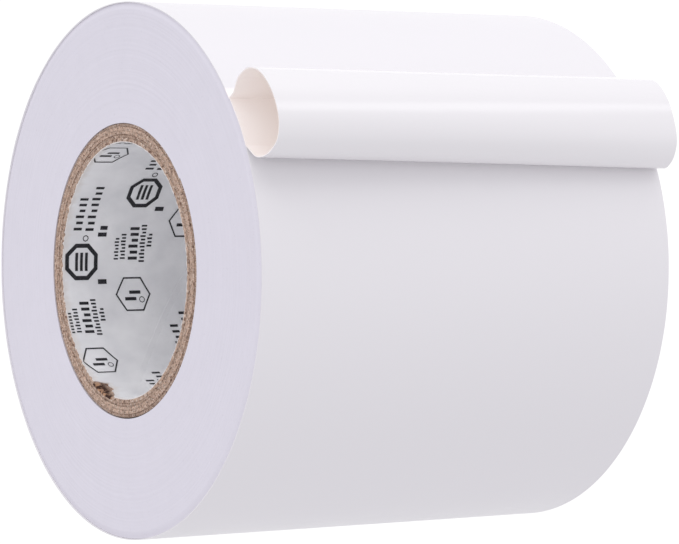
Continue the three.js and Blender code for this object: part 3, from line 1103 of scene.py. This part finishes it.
def wound_tape_tree():
    """The wound tape as one closed surface: two ringed end faces, the outside, the bore and two steps."""
    tree = bpy.data.node_groups.new("Wound Tape", "GeometryNodeTree")
    tree.interface.new_socket(name="Geometry", in_out="INPUT", socket_type="NodeSocketGeometry")
    tree.interface.new_socket(name="Turns", in_out="INPUT", socket_type="NodeSocketInt")
    tree.interface.new_socket(name="Turn Steps", in_out="INPUT", socket_type="NodeSocketInt")
    group = winding_place_group()
    shared = [item.name for item in group.interface.items_tree if item.in_out == "INPUT"][1:]
    for label in shared:
        if label != "Turn Pitch":
            tree.interface.new_socket(name=label, in_out="INPUT", socket_type="NodeSocketFloat")
    tree.interface.new_socket(name="Material", in_out="INPUT", socket_type="NodeSocketMaterial")
    tree.interface.new_socket(name="Geometry", in_out="OUTPUT", socket_type="NodeSocketGeometry")
    given = add(tree, "NodeGroupInput").outputs
    depth_inputs = {0: given["Outer Radius"], 1: given["Inner Radius"]}
    depth = add(tree, "ShaderNodeMath", depth_inputs, operation="SUBTRACT").outputs[0]
    all_turns = add(tree, "ShaderNodeMath", {0: given["Turns"], 1: 1.0}, operation="ADD").outputs[0]
    pitch = add(tree, "ShaderNodeMath", {0: depth, 1: all_turns}, operation="DIVIDE").outputs[0]
    around = add(tree, "ShaderNodeMath", {0: given["Turn Steps"], 1: 1.0}, operation="ADD").outputs[0]
    rings_inputs = {0: given["Turns"], 1: 2.0, 2: 1.0}
    rings = add(tree, "ShaderNodeMath", rings_inputs, operation="MULTIPLY_ADD").outputs[0]
    last_inputs = {0: given["Turns"], 1: 1.0}
    before_last = add(tree, "ShaderNodeMath", last_inputs, operation="SUBTRACT").outputs[0]
    across_rows = 9
    joined = add(tree, "GeometryNodeJoinGeometry")
    # Each sheet: points along and up its grid, then what its share, turn and side come from.
    sheets = (
        (around, rings, "share", "turn", 0.0, False),
        (around, rings, "share", "turn", 1.0, True),
        (around, across_rows, "share", "last", "side", False),
        (around, across_rows, "share", 0.0, "side", True),
        (3, across_rows, 0.0, "first step", "side", False),
        (3, across_rows, 1.0, "last step", "side", True),
    )
    for along, up, share, turn, side, flip in sheets:
        grid_inputs = {"Size X": 1.0, "Size Y": 1.0, "Vertices X": along, "Vertices Y": up}
        grid = add(tree, "GeometryNodeMeshGrid", grid_inputs)
        spot = add(tree, "GeometryNodeInputPosition").outputs[0]
        shifted_inputs = {0: spot, 1: (0.5, 0.5, 0.0)}
        shifted = add(tree, "ShaderNodeVectorMath", shifted_inputs, operation="ADD").outputs[0]
        parts = add(tree, "ShaderNodeSeparateXYZ", {0: shifted}).outputs
        turns_up = add(tree, "ShaderNodeMath", {0: parts["Y"], 1: given["Turns"]}, operation="MULTIPLY")
        last_step_inputs = {0: parts["X"], 1: before_last}
        last_step = add(tree, "ShaderNodeMath", last_step_inputs, operation="ADD")
        sources = {
            "share": parts["X"],
            "turn": turns_up.outputs[0],
            "last": given["Turns"],
            "first step": parts["X"],
            "last step": last_step.outputs[0],
            "side": parts["Y"],
        }
        coordinates = {i: sources.get(value, value) for i, value in enumerate((share, turn, side))}
        where = add(tree, "ShaderNodeCombineXYZ", coordinates).outputs[0]
        group_inputs = {"Spot": where, "Turn Pitch": pitch}
        group_inputs.update({label: given[label] for label in shared if label != "Turn Pitch"})
        placed = add(tree, "GeometryNodeGroup", node_tree=group)
        for label, value in group_inputs.items():
            tree.links.new(value, placed.inputs[label])
        moved_inputs = {"Geometry": grid.outputs["Mesh"], "Position": placed.outputs["Place"]}
        sheet = add(tree, "GeometryNodeSetPosition", moved_inputs).outputs[0]
        if flip:
            sheet = add(tree, "GeometryNodeFlipFaces", {0: sheet}).outputs[0]
        tree.links.new(sheet, joined.inputs[0])
    merged_inputs = {"Geometry": joined.outputs[0], "Distance": 0.002 * MM}
    merged = add(tree, "GeometryNodeMergeByDistance", merged_inputs).outputs[0]
    real = add(tree, "GeometryNodeRealizeInstances", {0: merged}).outputs[0]
    painted_inputs = {"Geometry": real, "Material": given["Material"]}
    painted = add(tree, "GeometryNodeSetMaterial", painted_inputs).outputs[0]
    add(tree, "NodeGroupOutput", {0: painted})
    return tree


def grown(name, tree, inputs, smooth_angle=40):
    """Runs a Geometry Nodes tree with these named inputs and gives its result as a plain mesh."""
    seed_mesh = bpy.data.meshes.new(name + "_seed")
    carrier = bpy.data.objects.new(name + "_carrier", seed_mesh)
    bpy.context.scene.collection.objects.link(carrier)
    modifier = carrier.modifiers.new("Shape", "NODES")
    modifier.node_group = tree
    for item in tree.interface.items_tree:
        if item.in_out == "INPUT" and item.name in inputs:
            modifier[item.identifier] = inputs[item.name]
    evaluated = carrier.evaluated_get(bpy.context.evaluated_depsgraph_get())
    mesh = bpy.data.meshes.new_from_object(evaluated)
    bpy.data.objects.remove(carrier)
    bpy.data.meshes.remove(seed_mesh)
    if not mesh.polygons:
        raise RuntimeError(f"{name}: its nodes made no faces")
    return linked(name, mesh, None, smooth_angle)


class TAPE_ROLL_OT_wound_tape(bpy.types.Operator):
    """Makes the wound tape under the last turn, with the edge of every turn on its end faces"""

    bl_idname = "tape_roll.wound_tape"
    bl_label = "Wound Tape"

    def execute(self, context):
        chosen = sizes()
        material = slit_vinyl_edges(colours().film_edge)
        inputs = {
            "Turns": chosen.turns,
            "Turn Steps": chosen.turn_steps,
            "Inner Radius": FIRST_TURN_RADIUS,
            "Outer Radius": PACK_RADIUS,
            "Width": WIDTH,
            "Near Start": PEEL_ANGLE[NEAR_X],
            "Far Start": PEEL_ANGLE[FAR_X],
            "Edge Relief": chosen.edge_relief,
            "Wander": chosen.wander,
            "Rim Recess": chosen.rim_recess,
            "Rim Width": chosen.rim_width,
            "Material": material,
        }
        pack = grown("wound_turns", wound_tape_tree(), inputs, smooth_angle=60)
        finished(pack, "roll", "tape_film", "wound_tape")
        return {"FINISHED"}


def edge_wander(angle, side):
    """How far the last turn's edge lies in from the end face at this angle, in metres."""
    slow = ripple(0.5, angle, side * 3.0)
    quick = ripple(0.11, angle, side * 5.0)
    return (0.10 + 0.07 * slow + 0.03 * quick) * MM


def last_turn_layer(top, bottom):
    """Grids of points for the top and bottom face of one layer of the last turn."""
    steps, columns = 360, 33
    grids = []
    for depth in (top, bottom):
        grid = []
        for i in range(steps + 1):
            share = 1 - i / steps
            row = []
            for x_even in spread(NEAR_X, FAR_X, columns, 2.2):
                angle = across_width(PEEL_ANGLE, x_even) - 2 * math.pi * share
                insets = {NEAR_X: edge_wander(angle, -1), FAR_X: -edge_wander(angle, 1)}
                x = x_even + across_width(insets, x_even)
                row.append(place(angle, ROLL_RADIUS - TURN_PITCH * share - depth, x))
            grid.append(row)
        grids.append(grid)
    return grids


def mark_inside_loop(piece, shares):
    """Says for each corner of a piece of film how far it lies inside the loop, from 0 to 1, which sets
    its painted glow and lighter painted colour.
    """
    mask = piece.data.attributes.new("inside_loop", "FLOAT", "POINT")
    mask.data.foreach_set("value", np.array(shares, np.float32))


class TAPE_ROLL_OT_last_turn(bpy.types.Operator):
    """Makes the last turn that still lies on the roll: its film and its adhesive"""

    bl_idname = "tape_roll.last_turn"
    bl_label = "Last Turn"

    def execute(self, context):
        film_top, film_bottom = last_turn_layer(0.0, FILM_THICKNESS)
        film = calendered_vinyl("Calendered vinyl film", colours().film, 0.42)
        piece = solid_sheet("last_turn_film", film_top, film_bottom, film)
        mark_inside_loop(piece, [self.inside_loop(p.co) for p in piece.data.vertices])
        finished(piece, "roll", "tape_film", "outer_turn_film")
        start = FILM_THICKNESS + LAYER_GAP
        coat_top, coat_bottom = last_turn_layer(start, start + ADHESIVE_THICKNESS)
        coat = adhesive_coat(colours().adhesive)
        piece = solid_sheet("last_turn_adhesive", coat_top, coat_bottom, coat)
        finished(piece, "roll", "tape_adhesive", "outer_turn_adhesive")
        return {"FINISHED"}

    def inside_loop(self, point):
        """1 between the tail's cut end and the peel line, fading to 0 under the tail: the band that gets
        the loop's painted glow and lighter painted colour.
        """
        cut_end = across_width(LANDING_ANGLE, point.x) + TAIL_SPAN
        angle = angle_of(point)
        if angle > PEEL_ANGLE[FAR_X] + math.radians(0.5):
            return 0.0
        return max(0.0, min(1.0, 1 - (cut_end - angle) / math.radians(4)))


# ---- Free end ----


def smooth_path(corners, count):
    """Points at even steps along a smooth curve through the corners."""
    points = [Vector(c) for c in corners]
    ends = [points[0] * 2 - points[1], *points, points[-1] * 2 - points[-2]]
    curve = []
    for a, b, c, d in zip(ends, ends[1:], ends[2:], ends[3:]):
        for step in range(24):
            t = step / 24
            bend = (2 * b) + (c - a) * t + (2 * a - 5 * b + 4 * c - d) * t**2
            curve.append((bend + (3 * b - a - 3 * c + d) * t**3) / 2)
    curve.append(points[-1])
    lengths = [0.0]
    for before, after in zip(curve, curve[1:]):
        lengths.append(lengths[-1] + (after - before).length)
    even = np.linspace(0, lengths[-1], count)
    rows = [np.interp(even, lengths, [p[k] for p in curve]) for k in (0, 1)]
    return [Vector((float(y), float(z))) for y, z in zip(*rows)]


def loop_section(x, count):
    """The loop's outer face at one end, as points in the Y-Z plane."""
    outline = [(PEEL_ANGLE[x], 0.02 * MM)]
    outline += [(math.radians(degrees), height * MM) for degrees, height in LOOP_OUTLINE[x]]
    outline.append((LANDING_ANGLE[x], TAIL_GAP))
    corners = [place(angle, ROLL_RADIUS + height, 0.0)[1:] for angle, height in outline]
    return smooth_path(corners, count)


def strip_grid(near, far, offset, columns):
    """A strip's face across the roll, `offset` to the left of the path between two sections."""
    grid = []
    count = len(near)
    for i in range(count):
        row = []
        for x_even in spread(NEAR_X, FAR_X, columns, 1.6):
            side_share = (x_even - NEAR_X) / WIDTH
            here = near[i].lerp(far[i], side_share)
            before = near[max(i - 1, 0)].lerp(far[max(i - 1, 0)], side_share)
            after = near[min(i + 1, count - 1)].lerp(far[min(i + 1, count - 1)], side_share)
            along = (after - before).normalized()
            point = here + Vector((-along.y, along.x)) * offset
            row.append((x_even, point.x, point.y))
        grid.append(row)
    return grid


class TAPE_ROLL_OT_loop(bpy.types.Operator):
    """Makes the loop of the free end: the adhesive outside and the film inside"""

    bl_idname = "tape_roll.loop"
    bl_label = "Free End Loop"

    def execute(self, context):
        steps, columns = 121, 41
        near, far = (loop_section(x, steps) for x in (NEAR_X, FAR_X))
        coat_depth = ADHESIVE_THICKNESS
        film_start = coat_depth + LAYER_GAP
        film_end = film_start + FILM_THICKNESS
        coat_grids = [strip_grid(near, far, depth, columns) for depth in (0.0, coat_depth)]
        film_grids = [strip_grid(near, far, depth, columns) for depth in (film_start, film_end)]
        coat = adhesive_coat(colours().adhesive)
        # The inner film is marked inside the loop all over, so it gets the painted glow and the lighter,
        # warmer painted colour
        film = calendered_vinyl("Calendered vinyl film, inner face", colours().film, 0.5)
        for name, grids, material, slot, node in (
            ("free_end_loop_adhesive", coat_grids, coat, "tape_adhesive", "loop_adhesive"),
            ("free_end_loop_film", film_grids, film, "tape_film", "loop_film"),
        ):
            piece = solid_sheet(name, grids[0], grids[1], material)
            mark_inside_loop(piece, [1.0] * len(piece.data.vertices))
            root = peel_line(0)
            along = peel_line(1) - root
            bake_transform(piece)
            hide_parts(node)
        return {"FINISHED"}


class TAPE_ROLL_OT_tail(bpy.types.Operator):
    """Makes the tail that sticks the loop down: the film outside and the adhesive on the roll"""

    bl_idname = "tape_roll.tail"
    bl_label = "Free End Tail"

    def execute(self, context):
        steps, columns = 41, 41
        thickness = FILM_THICKNESS + LAYER_GAP + ADHESIVE_THICKNESS
        base = ROLL_RADIUS + TAIL_GAP + thickness
        # The tail's film lies inside the loop, so it gets the painted glow and the lighter, warmer
        # painted colour
        film = calendered_vinyl("Calendered vinyl film, inner face", colours().film, 0.5)
        coat = adhesive_coat(colours().adhesive)
        film_end = FILM_THICKNESS
        coat_start = film_end + LAYER_GAP
        for name, depths, material, slot, node in (
            ("free_end_tail_film", (0.0, film_end), film, "tape_film", "tail_film"),
            ("free_end_tail_adhesive", (coat_start, thickness), coat, "tape_adhesive", "tail_adhesive"),
        ):
            grids = [self.face(base - depth, steps, columns) for depth in depths]
            piece = solid_sheet(name, grids[0], grids[1], material)
            mark_inside_loop(piece, [1.0] * len(piece.data.vertices))
            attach(piece, "tail")
            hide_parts(node)
        return {"FINISHED"}

    def face(self, radius, steps, columns):
        grid = []
        for i in range(steps):
            row = []
            for x in spread(NEAR_X, FAR_X, columns, 1.6):
                start = across_width(LANDING_ANGLE, x)
                row.append(place(start + TAIL_SPAN * i / (steps - 1), radius, x))
            grid.append(row)
        return grid


# ---- Panel and registration ----

PIECE_OPERATORS = (
    TAPE_ROLL_OT_stage,
    TAPE_ROLL_OT_liner,
    TAPE_ROLL_OT_liner_print,
    TAPE_ROLL_OT_core_plies,
    TAPE_ROLL_OT_wound_tape,
    TAPE_ROLL_OT_last_turn,
    TAPE_ROLL_OT_loop,
    TAPE_ROLL_OT_tail,
)


class TAPE_ROLL_PT_panel(bpy.types.Panel):
    bl_idname = "TAPE_ROLL_PT_panel"
    bl_label = "Tape Roll"
    bl_space_type = "VIEW_3D"
    bl_region_type = "UI"
    bl_category = "Tape Roll"

    def draw(self, context):
        layout = self.layout
        for group in (context.scene.tape_roll_sizes, context.scene.tape_roll_colours):
            for name in group.bl_rna.properties.keys():
                if name not in ("rna_type", "name"):
                    layout.prop(group, name)
        for operator in PIECE_OPERATORS:
            layout.operator(operator.bl_idname)


CLASSES = (TapeRollSizes, TapeRollColours, *PIECE_OPERATORS, TAPE_ROLL_PT_panel)


def register():
    for cls in CLASSES:
        bpy.utils.register_class(cls)
    bpy.types.Scene.tape_roll_sizes = bpy.props.PointerProperty(type=TapeRollSizes)
    bpy.types.Scene.tape_roll_colours = bpy.props.PointerProperty(type=TapeRollColours)


def unregister():
    del bpy.types.Scene.tape_roll_colours
    del bpy.types.Scene.tape_roll_sizes
    for cls in reversed(CLASSES):
        bpy.utils.unregister_class(cls)


def main():
    register()
    for operator in PIECE_OPERATORS:
        category, name = operator.bl_idname.split(".")
        getattr(getattr(bpy.ops, category), name)()


if __name__ == "__main__":
    main()
